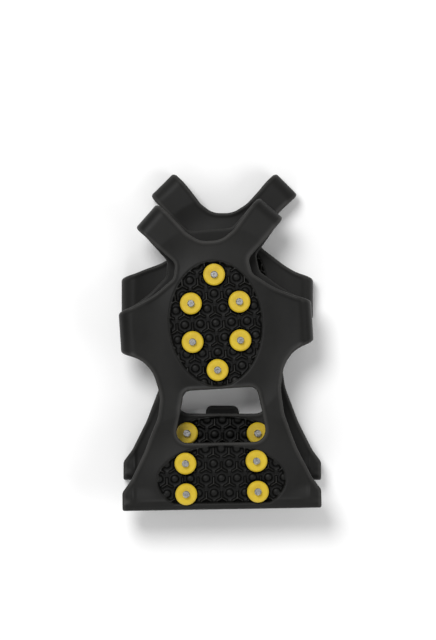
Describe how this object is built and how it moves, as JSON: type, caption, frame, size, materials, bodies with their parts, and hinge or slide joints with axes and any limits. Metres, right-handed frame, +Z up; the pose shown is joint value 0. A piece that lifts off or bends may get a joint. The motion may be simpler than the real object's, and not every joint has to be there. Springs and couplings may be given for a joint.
{
  "type": "shoe ice cleats",
  "caption": "Pair of flat-packed rubber overshoes with yellow-collared steel studs on treaded forefoot and heel pads, toe and side straps and a heel wall with a pull tab.",
  "frame": {"origin": "centre of the pair's footprint, on the surface that the lower cleat rests on", "axes": "+Z up, out of the studded soles; +Y towards the toes; +X to the right seen from above"},
  "size_m": [0.1226, 0.2054, 0.0423],
  "materials": {
    "black_rubber": "satin moulded rubber",
    "yellow_plastic": "semi-gloss moulded plastic",
    "stud_steel": "plated steel",
    "washer_steel": "plain stamped steel"
  },
  "bodies": {
    "lower_cleat": {"lower_forefoot_pad": "black_rubber", "lower_arch_struts": "black_rubber", "lower_heel_pad": "black_rubber", "lower_side_strap_left": "black_rubber", "lower_side_strap_right": "black_rubber", "lower_toe_strap_left": "black_rubber", "lower_toe_strap_right": "black_rubber", "lower_instep_panel": "black_rubber", "lower_heel_wall": "black_rubber", "lower_backing_washers": "washer_steel", "lower_stud_disc_01": "yellow_plastic", "lower_stud_pin_01": "stud_steel", "lower_stud_disc_02": "yellow_plastic", "lower_stud_pin_02": "stud_steel", "lower_stud_disc_03": "yellow_plastic", "lower_stud_pin_03": "stud_steel", "lower_stud_disc_04": "yellow_plastic", "lower_stud_pin_04": "stud_steel", "lower_stud_disc_05": "yellow_plastic", "lower_stud_pin_05": "stud_steel", "lower_stud_disc_06": "yellow_plastic", "lower_stud_pin_06": "stud_steel", "lower_stud_disc_07": "yellow_plastic", "lower_stud_pin_07": "stud_steel", "lower_stud_disc_08": "yellow_plastic", "lower_stud_pin_08": "stud_steel", "lower_stud_disc_09": "yellow_plastic", "lower_stud_pin_09": "stud_steel", "lower_stud_disc_10": "yellow_plastic", "lower_stud_pin_10": "stud_steel"},
    "upper_cleat": {"upper_forefoot_pad": "black_rubber", "upper_arch_struts": "black_rubber", "upper_heel_pad": "black_rubber", "upper_side_strap_left": "black_rubber", "upper_side_strap_right": "black_rubber", "upper_toe_strap_left": "black_rubber", "upper_toe_strap_right": "black_rubber", "upper_instep_panel": "black_rubber", "upper_heel_wall": "black_rubber", "upper_backing_washers": "washer_steel", "upper_stud_disc_01": "yellow_plastic", "upper_stud_pin_01": "stud_steel", "upper_stud_disc_02": "yellow_plastic", "upper_stud_pin_02": "stud_steel", "upper_stud_disc_03": "yellow_plastic", "upper_stud_pin_03": "stud_steel", "upper_stud_disc_04": "yellow_plastic", "upper_stud_pin_04": "stud_steel", "upper_stud_disc_05": "yellow_plastic", "upper_stud_pin_05": "stud_steel", "upper_stud_disc_06": "yellow_plastic", "upper_stud_pin_06": "stud_steel", "upper_stud_disc_07": "yellow_plastic", "upper_stud_pin_07": "stud_steel", "upper_stud_disc_08": "yellow_plastic", "upper_stud_pin_08": "stud_steel", "upper_stud_disc_09": "yellow_plastic", "upper_stud_pin_09": "stud_steel", "upper_stud_disc_10": "yellow_plastic", "upper_stud_pin_10": "stud_steel"}
  },
  "joints": [
    {"name": "lift_off", "type": "slide", "parent": "lower_cleat", "child": "upper_cleat", "axis": [0, 0, 1], "range_m": [0, 0.12]}
  ]
}
